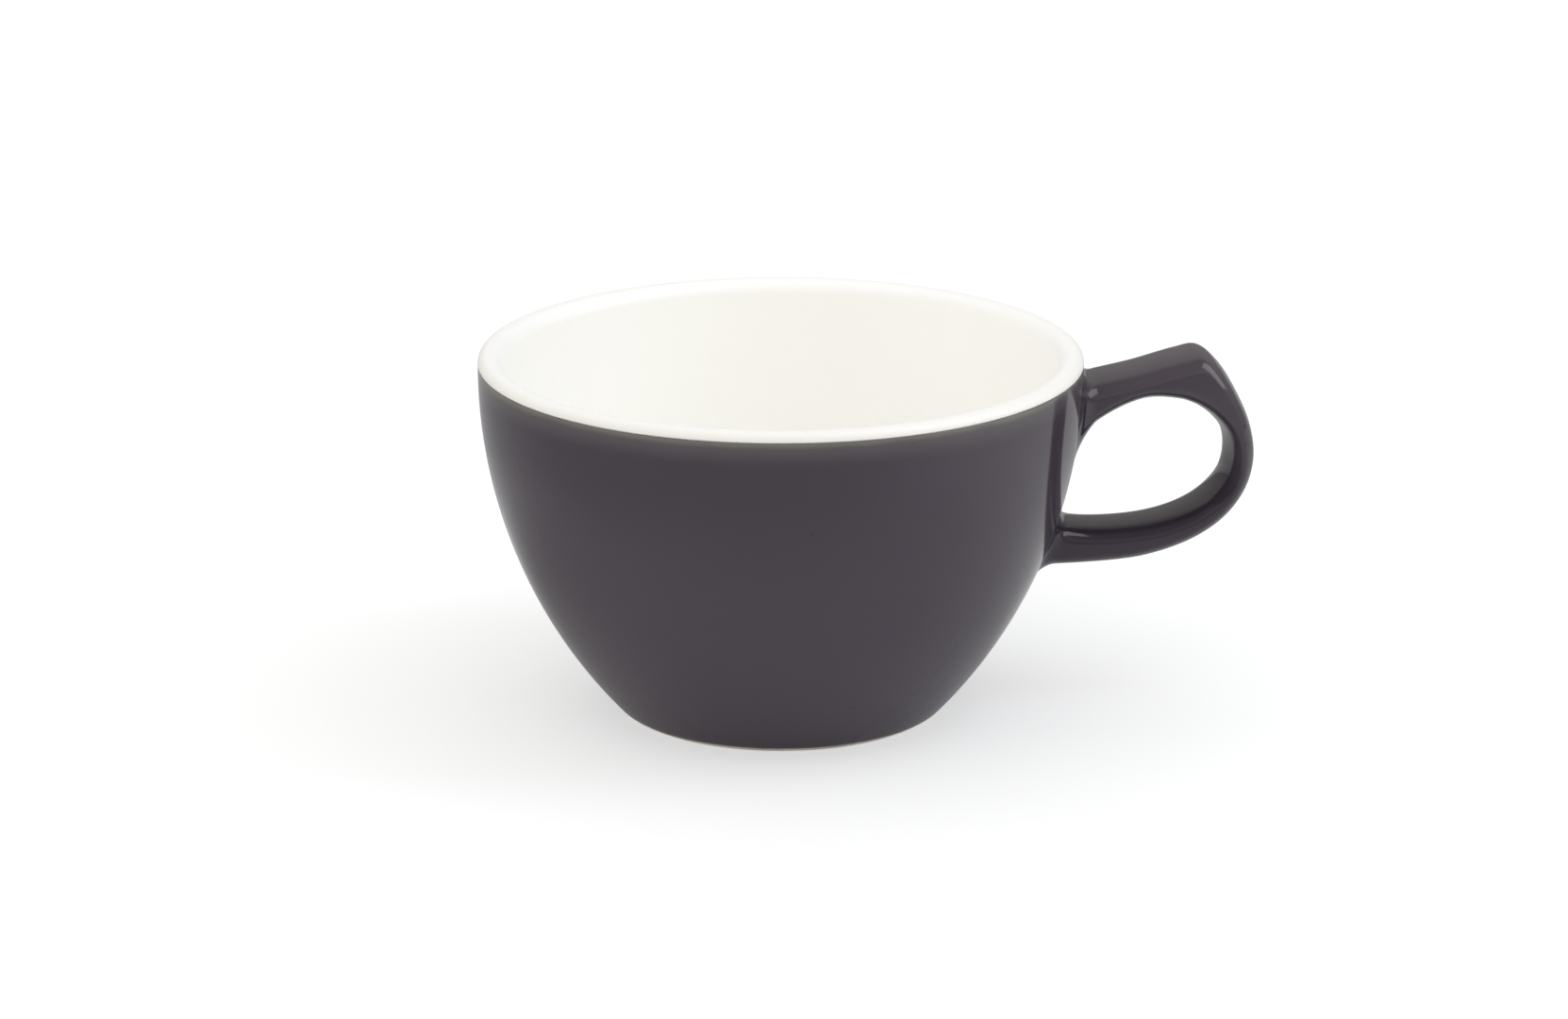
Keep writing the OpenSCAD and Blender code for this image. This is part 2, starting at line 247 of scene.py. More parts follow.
foot_start = recess_radius + foot_inner_round
foot_flat = np.linspace(foot_start, foot_middle[0], foot_flat_steps + 1)[1:-1]
foot_edge = np.concatenate([
    arc((foot_start, foot_inner_round), foot_inner_round, 180, 270, foot_steps),
    np.stack([foot_flat, np.zeros(foot_flat_steps - 1)], axis=1),
    arc(foot_middle, foot_round, -90, foot_angle, foot_steps),
])
low_angle = math.degrees(math.asin((coat_low - wall_top) / (wall_arc - coat)))
clay_wall = arc((wall_axis, wall_top), wall_arc - coat, low_angle, 0, wall_steps)
clay_bowl = turned("clay_bowl", np.concatenate([
    recess_line(0), foot_edge, clay_wall, [(rim_radius - coat, colour_line)], inside_line(coat)]), clay)
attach(clay_bowl, "root")
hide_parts("body")


# Clay handle and its slip joints
# The loop is cast apart from the same clay. Slip sticks it to the leather-hard bowl and is wiped to fillets.
# Glaze covers them all over, so the solids of the frame carry the bare clay under it.
for name in ("handle", "upper_joint", "lower_joint"):
    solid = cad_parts[name]
    solid.data.materials.clear()
    solid.data.materials.append(clay)


# White glaze
# Warm white glaze with a soft gloss, poured into the bowl and run over the lip to the colour line.
# It lies even on the wall, turns to satin over the lip, and keeps faint ripples from the melt. Painted shade
# tones the lip's crown and outer round a little darker.
white_end = 0.0002
white_end_steps = 5
lip_outside_start = rim_radius - 0.0017
lip_outside_full = rim_radius - 0.0006
crown_start = cup_height - 0.0026
crown_full = cup_height - 0.0008
satin_start = cup_height - 0.011
satin_full = cup_height - 0.0015
satin_extra = 0.16


def eased(tree, value, start, full, low=0.0, high=1.0):
    """A smooth run from a low to a high value, while a measure goes from a start to its full place."""
    return node(tree, "ShaderNodeMapRange", {"Value": value, "From Min": start, "From Max": full,
                                             "To Min": low, "To Max": high},
                interpolation_type="SMOOTHSTEP").outputs[0]


def tinted(tree, part, under, tone):
    """A tone laid over another, by a part from 0 to 1."""
    mix = node(tree, "ShaderNodeMix", {"Factor": part}, data_type="RGBA")
    tree.links.new(under, mix.inputs["A"])
    mix.inputs["B"].default_value = tone
    return mix.outputs["Result"]


def melt_group():
    """Shader group for the way a glaze melts: slow clouds of tone, pinholes and a rippled skin."""
    tree = bpy.data.node_groups.new("glaze_melt", "ShaderNodeTree")
    tree.interface.new_socket("Place", in_out="INPUT", socket_type="NodeSocketVector")
    for name in ("Cloud scale", "Pinhole scale", "Pinhole size", "Ripple scale"):
        tree.interface.new_socket(name, in_out="INPUT", socket_type="NodeSocketFloat")
    for name in ("Cloud", "Pinhole", "Ripple"):
        tree.interface.new_socket(name, in_out="OUTPUT", socket_type="NodeSocketFloat")
    given = node(tree, "NodeGroupInput").outputs
    cloud = node(tree, "ShaderNodeTexNoise", {"Vector": given["Place"], "Scale": given["Cloud scale"],
                                              "Detail": 4.0, "Roughness": 0.55}).outputs["Fac"]
    cells = node(tree, "ShaderNodeTexVoronoi", {"Vector": given["Place"], "Scale": given["Pinhole scale"],
                                                "Randomness": 1.0})
    chosen = node(tree, "ShaderNodeSeparateColor", {"Color": cells.outputs["Color"]}).outputs["Red"]
    rare = node(tree, "ShaderNodeMath", {0: chosen, 1: 0.94}, operation="GREATER_THAN").outputs[0]
    near = eased(tree, cells.outputs["Distance"], given["Pinhole size"], 0.0)
    pinhole = node(tree, "ShaderNodeMath", {0: near, 1: rare}, operation="MULTIPLY").outputs[0]
    ripple = node(tree, "ShaderNodeTexNoise", {"Vector": given["Place"], "Scale": given["Ripple scale"],
                                               "Detail": 1.5, "Roughness": 0.4}).outputs["Fac"]
    node(tree, "NodeGroupOutput", {"Cloud": cloud, "Pinhole": pinhole, "Ripple": ripple})
    return tree


melt = melt_group()

white_glaze, tree, shader, place = new_finish("white_glaze")
white_melt = node(tree, "ShaderNodeGroup", {"Place": place, "Cloud scale": 45.0, "Pinhole scale": 330.0,
                                            "Pinhole size": 0.07, "Ripple scale": 160.0},
                  node_tree=melt).outputs
white_tone = node(tree, "ShaderNodeMix", {"Factor": white_melt["Cloud"]}, data_type="RGBA")
white_tone.inputs["A"].default_value = (0.960, 0.950, 0.914, 1)
white_tone.inputs["B"].default_value = (0.950, 0.937, 0.900, 1)
white_height = node(tree, "ShaderNodeSeparateXYZ", {"Vector": place}).outputs["Z"]
level_place = node(tree, "ShaderNodeVectorMath", {0: place, 1: (1, 1, 0)},
                   operation="MULTIPLY").outputs["Vector"]
from_axis = node(tree, "ShaderNodeVectorMath", {0: level_place}, operation="LENGTH").outputs["Value"]
# Painted shade: the lip's crown and its outer round are toned a little darker than the wall.
crown_shade_part = eased(tree, white_height, crown_start, crown_full)
lip_outside_shade_part = eased(tree, from_axis, lip_outside_start, lip_outside_full)
crown_painted_shade = tinted(tree, crown_shade_part, white_tone.outputs["Result"], (0.914, 0.904, 0.882, 1))
lip_painted_shade = tinted(tree, lip_outside_shade_part, crown_painted_shade, (0.885, 0.864, 0.822, 1))
white_speck = tinted(tree, white_melt["Pinhole"], lip_painted_shade, (0.55, 0.50, 0.42, 1))
tree.links.new(white_speck, shader.inputs["Base Color"])
white_gloss = node(tree, "ShaderNodeMapRange",
                   {"Value": white_melt["Cloud"], "To Min": 0.285, "To Max": 0.33}).outputs[0]
lip_satin = eased(tree, white_height, satin_start, satin_full, 0.0, satin_extra)
white_rough = node(tree, "ShaderNodeMath", {0: white_gloss, 1: lip_satin}, operation="ADD").outputs[0]
tree.links.new(white_rough, shader.inputs["Roughness"])
white_skin = node(tree, "ShaderNodeBump",
                  {"Strength": 0.25, "Distance": 0.00003, "Height": white_melt["Ripple"]})
tree.links.new(white_skin.outputs["Normal"], shader.inputs["Normal"])
shader.inputs["IOR"].default_value = 1.5

white_face = np.concatenate([
    arc((rim_radius - white_end, colour_line + white_end), white_end, -90, 0, white_end_steps)[:-1],
    [(rim_radius, colour_line + white_end)], inside_line(0)])
white_coat = turned("white_coat", np.concatenate([
    white_face, inside_line(coat)[::-1], [(rim_radius - coat, colour_line), white_face[0]]]), white_glaze)
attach(white_coat, "root")
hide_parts("inside_glaze")


# Charcoal glaze
# One dark glossy coat over the outside wall, the handle and both fillets, sprayed on and wiped off the foot.
# It is thin and warmer at the colour line and on edges, and darker in the fillets where it pools. Painted
# shade darkens the loop's lower arm towards the bottom.
handle_reach = 0.02559
handle_drop = 0.0268
handle_top = 0.0524
upper_width = 0.0144
lower_width = 0.012
handle_swell = 0.0012
handle_edge = 0.0022
edge_limit_share = 0.46
upper_arm_thick = 0.0049
thumb_thick = 0.0083
bend_thick = 0.0044
lower_arm_thick = 0.0061
upper_neck_thick = 0.0072
upper_root_thick = 0.011
lower_neck_thick = 0.0072
lower_root_rise = 0.0016
upper_neck_rise = 0.0007
joint_fillet = 0.0025
joint_gap = 0.0019
joint_depth = joint_fillet + coat
upper_root_top = colour_line - joint_gap - joint_fillet
lower_middle = handle_top - handle_drop
upper_ends = ((upper_root_top - upper_root_thick / 2, upper_root_thick),
              (upper_root_top + upper_neck_rise - upper_neck_thick / 2, upper_neck_thick), 1)
lower_ends = ((lower_middle + lower_root_rise / 2, lower_neck_thick + lower_root_rise),
              (lower_middle, lower_neck_thick), -1)
# Places round the loop: shares of the reach and the drop, tilt in quarter turns, mix of the four thicknesses
handle_stations = (
    (0.354, 0.032, 1.098, (1, 0, 0, 0)), (0.6, 0, 0.904, (0.4, 0.6, 0, 0)),
    (0.707, 0.003, 0.814, (0, 1, 0, 0)), (0.794, 0.062, 0.707, (0, 0.77, 0.23, 0)),
    (0.894, 0.184, 0.438, (0, 0.27, 0.73, 0)), (0.973, 0.324, 0.143, (0, 0.03, 0.97, 0)),
    (1, 0.484, -0.063, (0, 0.02, 0.98, 0)), (0.963, 0.65, -0.219, (0, 0, 1, 0)),
    (0.846, 0.796, -0.41, (0, 0, 0.67, 0.33)), (0.658, 0.91, -0.637, (0, 0, 0.39, 0.61)),
    (0.349, 0.991, -0.865, (0, 0, 0, 1)))
corner_steps = 8
side_steps = 14
patch_steps = corner_steps + side_steps
columns = 300
span_steps = 8
fillet_steps = 10
low_rows = 32
middle_rows = 10
top_rows = 5
lower_patch_below = 0.007
lower_patch_above = 0.0086
upper_patch_below = 0.0016
upper_patch_above = 0.0006
patch_shares = (0.25, 0.5, 0.75)
patch_pool = (0.1, 0.3, 0.55)
foot_bead_turns = (18, 36, 54, 72, 90)
lip_bead = 0.0001
lip_bead_steps = 4
waver_height = 0.0006
colour_end = colour_line + 0.0003
thin_top_start = colour_line - 0.0039
meeting_start = colour_line - 0.0008
thin_foot_start = coat_low + 0.0012
thin_foot_full = coat_low + 0.0002
thin_edge_part = 0.34
arm_shade_start = 0.0415
arm_shade_full = 0.030
arm_shade_part = 0.85
fillet_part = 0.5


def wall_x(across, height, inset):
    """How far out the outer wall lies, at a place beside the handle's middle plane."""
    return np.sqrt(wall_radius(height, inset) ** 2 - across ** 2)


def width_at(height):
    """Width of the handle across the loop, which narrows on the way down."""
    return upper_width + (lower_width - upper_width) * min(max((handle_top - height) / handle_drop, 0), 1)


def handle_section(thick, width, edge, swell):
    """A rectangle with round corners and swelled broad sides, as points across its thickness and width."""
    corner = min(edge, thick * edge_limit_share, width * edge_limit_share)
    side = np.array([thick / 2 - corner, width / 2 - corner])
    corners = [side * sign for sign in ((1, 1), (-1, 1), (-1, -1), (1, -1))]
    points = []
    for k in range(4):
        for step in range(corner_steps + 1):
            turn = math.radians(90 * (k + step / corner_steps))
            points.append(corners[k] + corner * np.array([math.cos(turn), math.sin(turn)]))
        turn = math.radians(90 * (k + 1))
        out = corner * np.array([math.cos(turn), math.sin(turn)])
        for step in range(1, side_steps):
            share = step / side_steps
            points.append(corners[k] * (1 - share) + corners[(k + 1) % 4] * share + out)
    outline = np.array(points)
    outline[:, 0] *= 1 - 2 * swell / thick * (2 * outline[:, 1] / width) ** 2
    return outline


def smooth_point(line, k, share):
    """Point on a smooth line through a list of points, at a share of the stretch after point k."""
    def slope(before, here, after):
        gap_before = math.sqrt(np.linalg.norm(here - before))
        gap_after = math.sqrt(np.linalg.norm(after - here))
        return stretch * ((here - before) / gap_before - (after - before) / (gap_before + gap_after)
                          + (after - here) / gap_after)
    here, there = line[k], line[k + 1]
    stretch = math.sqrt(np.linalg.norm(there - here))
    square, cube = share ** 2, share ** 3
    leaving, arriving = slope(line[k - 1], here, there), slope(here, there, line[k + 2])
    return (here * (2 * cube - 3 * square + 1) + leaving * (cube - 2 * square + share)
            + there * (3 * square - 2 * cube) + arriving * (cube - square))


def handle_line(side):
    """Side view of the handle: its outer line (side 1) or its inner line (side -1), with both joints' ends."""
    def joint_point(ends, at):
        middle, thick = ends[at]
        return np.array([wall_x(0, middle, coat - at * joint_depth), middle + side * ends[2] * thick / 2])
    thicks = np.array([upper_arm_thick, thumb_thick, bend_thick, lower_arm_thick])
    line = [joint_point(upper_ends, 0), joint_point(upper_ends, 1)]
    for reach, drop, tilt, shares in handle_stations:
        turn = math.radians(90 * tilt)
        half = thicks @ np.array(shares) / 2
        line.append(np.array([rim_radius + reach * handle_reach + side * half * math.cos(turn),
                              handle_top - drop * handle_drop + side * half * math.sin(turn)]))
    return line + [joint_point(lower_ends, 1), joint_point(lower_ends, 0)]


def handle_rings(inset):
    """Free sections of the handle between its joints. Near a joint they bend to the wall's roundness."""
    outer_line, inner_line = handle_line(1), handle_line(-1)
    last = len(outer_line) - 3
    rings = []
    for k in range(1, last + 1):
        for step in range(1 if k == 1 else 0, span_steps):
            share = step / span_steps
            bend_share = 1 - share if k == 1 else share if k == last else 0
            outer, inner = smooth_point(outer_line, k, share), smooth_point(inner_line, k, share)
            middle, thick = (outer + inner) / 2, np.linalg.norm(outer - inner)
            across = (outer - inner) / thick
            flat = handle_section(thick - 2 * inset, width_at(middle[1]) - 2 * inset,
                                  handle_edge - inset, handle_swell)
            height = middle[1] + across[1] * flat[:, 0]
            bend = wall_x(flat[:, 1], height, coat - joint_depth) - wall_x(0, middle[1], coat - joint_depth)
            out = middle[0] + across[0] * flat[:, 0] + bend_share * bend
            rings.append(np.stack([out, flat[:, 1], height], axis=1))
    return rings


def joint_ring(ends, inset, turn_share):
    """A section of one fillet, at a share of its quarter turn from the wall to the arm."""
    turn = math.radians(90 * turn_share)
    reach = joint_fillet + inset
    grown = joint_fillet - reach * math.sin(turn)
    inset_here = coat - joint_depth + reach * math.cos(turn)
    middle = ends[0][0] * (1 - turn_share) + ends[1][0] * turn_share
    thick = ends[0][1] * (1 - turn_share) + ends[1][1] * turn_share
    flat = handle_section(thick + 2 * grown, width_at(ends[1][0]) + 2 * grown,
                          handle_edge + grown, handle_swell * turn_share)
    height = middle + ends[2] * flat[:, 0]
    return np.stack([wall_x(flat[:, 1], height, inset_here), flat[:, 1], height], axis=1)


def joint_rings(ends, inset):
    """All sections of one fillet, from the wall to the arm."""
    return [joint_ring(ends, inset, step / fillet_steps) for step in range(fillet_steps + 1)]


def wall_heights():
    """Heights of the wall's rows, with as many across each joint's patch as its section has steps."""
    bottom, top = coat_low + coat, colour_line - lip_bead
    lower_low, lower_high = lower_middle - lower_patch_below, lower_middle + lower_patch_above
    upper_low = upper_root_top - upper_root_thick - joint_fillet - upper_patch_below
    upper_high = colour_line - upper_patch_above
    stretches = ((bottom, lower_low, low_rows), (lower_low, lower_high, patch_steps),
                 (lower_high, upper_low, middle_rows), (upper_low, upper_high, patch_steps),
                 (upper_high, top, top_rows))
    heights = [bottom]
    for low, high, steps in stretches:
        heights += list(np.linspace(low, high, steps + 1)[1:])
    starts = np.cumsum([0] + [steps for _, _, steps in stretches])
    return np.array(heights), starts[1], starts[3]


def patch_loop(low_row, upward):
    """Wall grid places round a joint's patch, in the order of a handle section's points."""
    half = patch_steps // 2
    start, stop = (low_row + patch_steps, low_row) if upward > 0 else (low_row, low_row + patch_steps)
    way = -upward
    right = [(start, column) for column in range(half - corner_steps // 2, half)]
    down = [(start + way * step, half) for step in range(patch_steps)]
    back = [(stop, half - step) for step in range(patch_steps)]
    up = [(stop - way * step, -half) for step in range(patch_steps)]
    top = [(start, column) for column in range(-half, half - corner_steps // 2)]
    return right + down + back + up + top


def level_ring(radius, height):
    """A level ring with a point on each of the wall's columns."""
    angles = np.arange(columns) * math.tau / columns
    return np.stack([radius * np.cos(angles), radius * np.sin(angles), np.full(columns, height)], axis=1)


def marks_along(free):
    """How far the glaze pools and how far it lies on the arm, for each section from wall to wall."""
    half = fillet_steps // 2
    rising = [patch_pool[-1] + (1 - patch_pool[-1]) * math.sin(math.pi * step / fillet_steps)
              for step in range(half + 1)]
    falling = [1 - step / half for step in range(1, half + 1)]
    pooled = [*patch_pool, *rising, *falling]
    leaving = [0.0] * len(patch_shares) + [step / fillet_steps for step in range(fillet_steps + 1)]
    return zip(pooled + [0.0] * free + pooled[::-1], leaving + [1.0] * free + leaving[::-1])


def coat_shell(inset, vertices, faces, marks, turned_in):
    """Adds one face of the coat, the wall with the handle on it, drawn in by an inset."""
    first = len(vertices)
    heights, lower_row, upper_row = wall_heights()
    rows = len(heights)
    for height in heights:
        vertices.extend(level_ring(wall_radius(height, inset), height))
        marks.extend([(0.0, 0.0, 0.0)] * columns)

    def wall_index(place):
        return first + place[0] * columns + place[1] % columns

    def quad(corners):
        faces.append(corners[::-1] if turned_in else corners)

    half = patch_steps // 2
    for row in range(rows - 1):
        open_row = any(low <= row < low + patch_steps for low in (lower_row, upper_row))
        for column in range(columns):
            beside = column < half or column >= columns - half
            if not (open_row and beside):
                around = ((row, column), (row, column + 1), (row + 1, column + 1), (row + 1, column))
                quad([wall_index(p) for p in around])

    def patch_rings(ends, loop):
        edge = np.array([vertices[wall_index(p)] for p in loop])
        ring = joint_ring(ends, inset, 0)
        spread = []
        for share in patch_shares:
            flat = edge * (1 - share) + ring * share
            spread.append(np.stack([wall_x(flat[:, 1], flat[:, 2], inset), flat[:, 1], flat[:, 2]], axis=1))
        return spread

    upper_loop, lower_loop = patch_loop(upper_row, 1), patch_loop(lower_row, -1)
    free_rings = handle_rings(inset)
    rings = (patch_rings(upper_ends, upper_loop) + joint_rings(upper_ends, inset) + free_rings
             + joint_rings(lower_ends, inset)[::-1] + patch_rings(lower_ends, lower_loop)[::-1])
    loops = [[wall_index(p) for p in upper_loop]]
    count = len(upper_loop)
    edge_corner = [math.sin(math.pi * step / corner_steps) for step in range(corner_steps + 1)]
    edge_corner += [0.0] * (side_steps - 1)
    for ring, (pool, arm) in zip(rings, marks_along(len(free_rings))):
        loops.append(list(range(len(vertices), len(vertices) + count)))
        vertices.extend(ring)
        marks.extend((pool, edge * (1 - pool), arm) for edge in edge_corner * 4)
    loops.append([wall_index(p) for p in lower_loop])
    for here, there in zip(loops, loops[1:]):
        for k in range(count):
            quad([here[k], there[k], there[(k + 1) % count], here[(k + 1) % count]])
    low = [wall_index((0, column)) for column in range(columns)]
    high = [wall_index((rows - 1, column)) for column in range(columns)]
    return low, high


def coat_edge(vertices, faces, marks, start, stop, line, turned_in):
    """Joins the two faces of the coat along an edge, over the rings of a rounded half section."""
    loops = [start]
    for radius, height in line:
        loops.append(list(range(len(vertices), len(vertices) + columns)))
        vertices.extend(level_ring(radius, height))
        marks.extend([(0.0, 0.0, 0.0)] * columns)
    loops.append(stop)
    for here, there in zip(loops, loops[1:]):
        for k in range(columns):
            corners = [here[k], here[(k + 1) % columns], there[(k + 1) % columns], there[k]]
            faces.append(corners[::-1] if turned_in else corners)


vertices, faces, marks = [], [], []
outer_low, outer_high = coat_shell(0.0, vertices, faces, marks, False)
inner_low, inner_high = coat_shell(coat, vertices, faces, marks, True)
low_radius, low_height = wall_radius(coat_low + coat), coat_low + coat
slant = math.asin((wall_top - low_height) / wall_arc)
bead = [(low_radius - coat * (1 - math.cos(turn)) * math.cos(slant) - coat * math.sin(turn) * math.sin(slant),
         low_height + coat * (1 - math.cos(turn)) * math.sin(slant) - coat * math.sin(turn) * math.cos(slant))
        for turn in np.radians(foot_bead_turns)]
coat_edge(vertices, faces, marks, outer_low, inner_low, bead, True)
lip_end = arc((rim_radius - lip_bead, colour_line - lip_bead), lip_bead, 0, 90, lip_bead_steps)[1:]
coat_edge(vertices, faces, marks, outer_high, inner_high, lip_end, False)

charcoal_mesh = bpy.data.meshes.new("charcoal_coat")
charcoal_mesh.from_pydata([tuple(v) for v in vertices], [], faces)
charcoal_mesh.shade_smooth()
for k, name in enumerate(("pool", "edge", "arm")):
    mark = charcoal_mesh.attributes.new(name, "FLOAT", "POINT")
    mark.data.foreach_set("value", np.array(marks)[:, k].astype(np.float32))
charcoal_coat = bpy.data.objects.new("charcoal_coat", charcoal_mesh)
bpy.context.scene.collection.objects.link(charcoal_coat)

charcoal_glaze, tree, shader, place = new_finish("charcoal_glaze")
dark_melt = node(tree, "ShaderNodeGroup", {"Place": place, "Cloud scale": 55.0, "Pinhole scale": 260.0,
                                           "Pinhole size": 0.09, "Ripple scale": 150.0},
                 node_tree=melt).outputs
dark_tone = node(tree, "ShaderNodeMix", {"Factor": dark_melt["Cloud"]}, data_type="RGBA")
dark_tone.inputs["A"].default_value = (0.0475, 0.0362, 0.050, 1)
dark_tone.inputs["B"].default_value = (0.053, 0.0415, 0.055, 1)
dark_height = node(tree, "ShaderNodeSeparateXYZ", {"Vector": place}).outputs["Z"]
waver = node(tree, "ShaderNodeMath", {0: dark_melt["Ripple"], 1: waver_height, 2: dark_height},
             operation="MULTIPLY_ADD").outputs[0]
on_arm = node(tree, "ShaderNodeAttribute", attribute_name="arm").outputs["Fac"]
on_bowl = node(tree, "ShaderNodeMath", {0: 1.0, 1: on_arm}, operation="SUBTRACT").outputs[0]
thin_top = eased(tree, waver, thin_top_start, colour_end, 0.0, on_bowl)
thin_foot = eased(tree, waver, thin_foot_start, thin_foot_full)
thin_edge = node(tree, "ShaderNodeAttribute", attribute_name="edge").outputs["Fac"]
edge_part = node(tree, "ShaderNodeMath", {0: thin_edge, 1: thin_edge_part}, operation="MULTIPLY").outputs[0]
thin_ends = node(tree, "ShaderNodeMath", {0: thin_top, 1: thin_foot}, operation="MAXIMUM").outputs[0]
thin = node(tree, "ShaderNodeMath", {0: thin_ends, 1: edge_part}, operation="MAXIMUM").outputs[0]
thin_tone = tinted(tree, thin, dark_tone.outputs["Result"], (0.094, 0.084, 0.090, 1))
meeting = eased(tree, waver, meeting_start, colour_end, 0.0, on_bowl)
meeting_tone = tinted(tree, meeting, thin_tone, (0.170, 0.156, 0.138, 1))
pooled_mark = node(tree, "ShaderNodeAttribute", attribute_name="pool").outputs["Fac"]
# Painted shade: the loop's lower arm is darker towards the bottom. It is mixed with the glaze's own pooling in
# the fillets.
painted_shade_down = eased(tree, dark_height, arm_shade_start, arm_shade_full, 0.0, arm_shade_part)
arm_painted_shade = node(tree, "ShaderNodeMath", {0: painted_shade_down, 1: on_arm}, operation="MULTIPLY").outputs[0]
pool_and_shade_part = node(tree, "ShaderNodeMath", {0: pooled_mark, 1: fillet_part, 2: arm_painted_shade},
                 operation="MULTIPLY_ADD", use_clamp=True).outputs[0]
pool_and_shade_tone = tinted(tree, pool_and_shade_part, meeting_tone, (0.0275, 0.0192, 0.0315, 1))
pit_tone = tinted(tree, dark_melt["Pinhole"], pool_and_shade_tone, (0.018, 0.014, 0.018, 1))
tree.links.new(pit_tone, shader.inputs["Base Color"])
dark_gloss = node(tree, "ShaderNodeMapRange",
                  {"Value": dark_melt["Cloud"], "To Min": 0.06, "To Max": 0.12}).outputs[0]
tree.links.new(dark_gloss, shader.inputs["Roughness"])
skin = node(tree, "ShaderNodeMath", {0: dark_melt["Pinhole"], 1: -1.5, 2: dark_melt["Ripple"]},
            operation="MULTIPLY_ADD").outputs[0]
dark_skin = node(tree, "ShaderNodeBump", {"Strength": 0.2, "Distance": 0.00002, "Height": skin})
tree.links.new(dark_skin.outputs["Normal"], shader.inputs["Normal"])
shader.inputs["IOR"].default_value = 1.5
charcoal_mesh.materials.append(charcoal_glaze)
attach(charcoal_coat, "root")
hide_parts("outside_glaze", "handle_glaze")


# Charcoal glaze in the recess
# The same coat inside the foot ring, sprayed from below and wiped off the ring before firing.
# It ends in a thin edge half a millimetre above the ring's flat.
recess_end_steps = 5
recess_back = np.concatenate([recess_line(0), [(recess_radius, recess_bare)]])
recess_end = arc((recess_radius, recess_bare + coat), coat, 180, 270, recess_end_steps)[1:]
recess_front = np.concatenate([recess_line(coat), [(recess_radius - coat, recess_bare + coat)], recess_end])
recess_coat = turned("recess_coat", np.concatenate([recess_front, recess_back[::-1][1:]]), charcoal_glaze)
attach(recess_coat, "root")
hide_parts("base_glaze")


# Studio
# A white sweep under an even, slightly warm sky, with a cooler soft box high at the handle's side. The camera
# sees the sweep plain. In reflections and bounce light it carries painted light round the cup and towards the
# box, and painted shadows beside and behind the cup.
# That box only lights. A wider one just behind it shows only as a mirror image in the glaze.
# The camera looks at the handle's side from a little above, with a long lens.
sweep_half = 4.0
sweep_mirrored = 0.76
sweep_glow = 0.5
# Painted light and painted shadows on the sweep, for reflections and bounce light only: middle, near and far
# distance, tone at each
cup_painted_light = ((0.0, 0.01, 0.0), 0.03, 0.16, 1.0, 0.565)
left_painted_shadow = ((-0.06, 0.02, 0.0), 0.0, 0.065, 0.64, 1.0)
behind_painted_shadow = ((0.05, 0.15, 0.0), 0.0, 0.12, 0.72, 1.0)
box_painted_light = ((0.175, -0.058, 0.0), 0.02, 0.19, 1.0, 0.0)
box_aim = (0, 0, 0.03)
camera_away = 0.8585
camera_aside = 0.0005
camera_aim_height = 0.03169
camera_lift = math.radians(16.92)
camera_turn = math.radians(-6)


def spot(tree, place, middle, near, far, near_part, far_part):
    """A soft round patch of painted light and shade on the sweep, from a near to a far distance round its
    middle.
    """
    away = node(tree, "ShaderNodeVectorMath", {0: place, 1: middle}, operation="DISTANCE").outputs["Value"]
    return eased(tree, away, near, far, near_part, far_part)


def soft_box(name, place, aim, wide, high, power, tone):
    """A rectangular soft box that faces a point."""
    lamp = bpy.data.lights.new(name, "AREA")
    lamp.shape = "RECTANGLE"
    lamp.size, lamp.size_y, lamp.energy, lamp.color = wide, high, power, tone
    box = bpy.data.objects.new(name, lamp)
    bpy.context.scene.collection.objects.link(box)
    box.location = place
    way = np.array(aim) - np.array(place)
    flat = math.hypot(way[0], way[1])
    box.rotation_euler = (math.atan2(flat, -way[2]), 0, math.atan2(way[1], way[0]) - math.pi / 2)
    return box


scene = bpy.context.scene
scene.view_settings.view_transform = "Standard"
floor_mesh = bpy.data.meshes.new("floor")
floor_mesh.from_pydata([(-sweep_half, -sweep_half, 0), (sweep_half, -sweep_half, 0),
                        (sweep_half, sweep_half, 0), (-sweep_half, sweep_half, 0)], [], [(0, 1, 2, 3)])
floor = bpy.data.objects.new("floor", floor_mesh)
scene.collection.objects.link(floor)
sweep, tree, shader, place = new_finish("white_sweep")
sight = node(tree, "ShaderNodeLightPath").outputs
# Painted light round the cup, painted shadows left of it and behind it, and a painted pool of light towards
# the box.
sweep_painted_shading = spot(tree, place, *cup_painted_light)
for shaded in (left_painted_shadow, behind_painted_shadow):
    shade = spot(tree, place, *shaded)
    sweep_painted_shading = node(tree, "ShaderNodeMath", {0: sweep_painted_shading, 1: shade}, operation="MULTIPLY").outputs[0]
sweep_painted_pool = tinted(tree, spot(tree, place, *box_painted_light), sweep_painted_shading, (0.97, 0.97, 0.97, 1))
mirror_part = node(tree, "ShaderNodeMapRange",
                   {"Value": sight["Is Glossy Ray"], "To Min": 1.0, "To Max": sweep_mirrored}).outputs[0]
sweep_around = node(tree, "ShaderNodeVectorMath", {0: sweep_painted_pool, "Scale": mirror_part},
                    operation="SCALE").outputs["Vector"]
seen_straight = node(tree, "ShaderNodeMath", {0: sight["Is Camera Ray"], 1: sight["Is Transmission Ray"]},
                     operation="MAXIMUM").outputs[0]
sweep_tone = tinted(tree, seen_straight, sweep_around, (0.52, 0.52, 0.52, 1))
tree.links.new(sweep_tone, shader.inputs["Base Color"])
glow = node(tree, "ShaderNodeMath", {0: seen_straight, 1: sweep_glow}, operation="MULTIPLY").outputs[0]
tree.links.new(glow, shader.inputs["Emission Strength"])
shader.inputs["Emission Color"].default_value = (1, 1, 1, 1)
shader.inputs["Roughness"].default_value = 1.0
shader.inputs["Specular IOR Level"].default_value = 0.0
floor_mesh.materials.append(sweep)

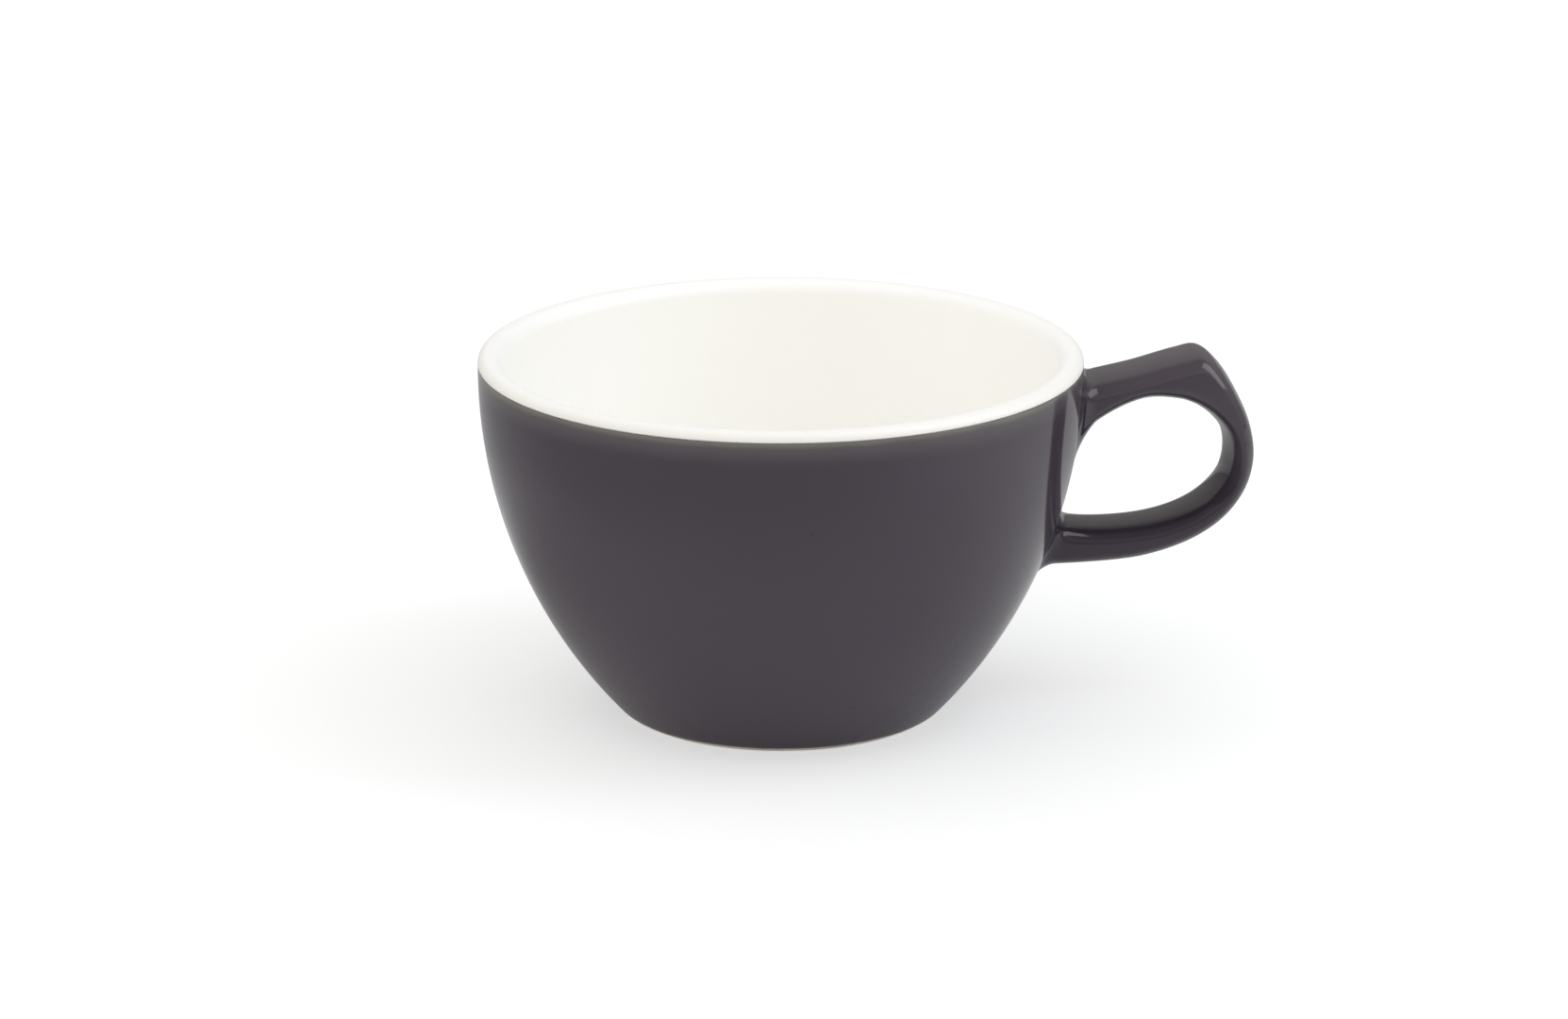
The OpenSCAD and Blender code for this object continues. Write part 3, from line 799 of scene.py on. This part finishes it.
world = bpy.data.worlds.new("white_sky")
scene.world = world
world.use_nodes = True
sky = world.node_tree
sky.nodes.clear()
sky_sight = node(sky, "ShaderNodeLightPath").outputs
sky_place = node(sky, "ShaderNodeTexCoord").outputs["Generated"]
way = node(sky, "ShaderNodeSeparateXYZ", {"Vector": sky_place}).outputs
mirrored = node(sky, "ShaderNodeValToRGB", {"Fac": way["Z"]})
for position, grey in ((0.3, 0.42), (0.62, 0.58), (0.85, 0.26)):
    mirrored.color_ramp.elements.new(position).color = (grey, 0.985 * grey, 0.92 * grey, 1)
mirrored.color_ramp.elements[0].color = (0.23, 0.23, 0.22, 1)
mirrored.color_ramp.elements[-1].color = (0.22, 0.22, 0.22, 1)
front_left = node(sky, "ShaderNodeVectorMath", {0: sky_place, 1: (-0.60, -0.45, 0.66)},
                  operation="DOT_PRODUCT").outputs["Value"]
towards_front = node(sky, "ShaderNodeMapRange", {"Value": front_left, "From Min": -0.3, "From Max": 0.9,
                                                 "To Min": 0.838, "To Max": 1.153}).outputs[0]
sky_light = node(sky, "ShaderNodeBackground",
                 {"Color": (1, 0.992, 0.977, 1), "Strength": towards_front}).outputs[0]
sky_mirrored = node(sky, "ShaderNodeBackground",
                    {"Color": mirrored.outputs["Color"], "Strength": 1.0}).outputs[0]
sky_seen = node(sky, "ShaderNodeBackground", {"Color": (1, 1, 1, 1), "Strength": 1.0}).outputs[0]
straight = node(sky, "ShaderNodeMath", {0: sky_sight["Is Camera Ray"], 1: sky_sight["Is Transmission Ray"]},
                operation="MAXIMUM").outputs[0]
sky_around = node(sky, "ShaderNodeMixShader",
                  {0: sky_sight["Is Glossy Ray"], 1: sky_light, 2: sky_mirrored}).outputs[0]
sky_mix = node(sky, "ShaderNodeMixShader", {0: straight, 1: sky_around, 2: sky_seen}).outputs[0]
node(sky, "ShaderNodeOutputWorld", {"Surface": sky_mix})

side_box = soft_box("side_box", (0.70, -0.13, 0.66), box_aim, wide=0.3, high=1.1, power=1.75,
                    tone=(0.88, 1.02, 1.2))
side_box.visible_glossy = False
side_mirrored = soft_box("side_mirrored", (0.71, -0.132, 0.669), box_aim, wide=0.6, high=1.1, power=4.0,
                         tone=(1.0, 0.98, 1.0))
side_mirrored.visible_diffuse = False

lens = bpy.data.cameras.new("camera")
lens.sensor_fit = "HORIZONTAL"
lens.sensor_width = 36.0
lens.lens = 124.62
camera = bpy.data.objects.new("camera", lens)
scene.collection.objects.link(camera)
level_away = camera_away * math.cos(camera_lift)
camera.location = (camera_aside * math.cos(camera_turn) + level_away * math.sin(camera_turn),
                   camera_aside * math.sin(camera_turn) - level_away * math.cos(camera_turn),
                   camera_aim_height + camera_away * math.sin(camera_lift))
camera.rotation_euler = (math.pi / 2 - camera_lift, 0, camera_turn)
scene.camera = camera
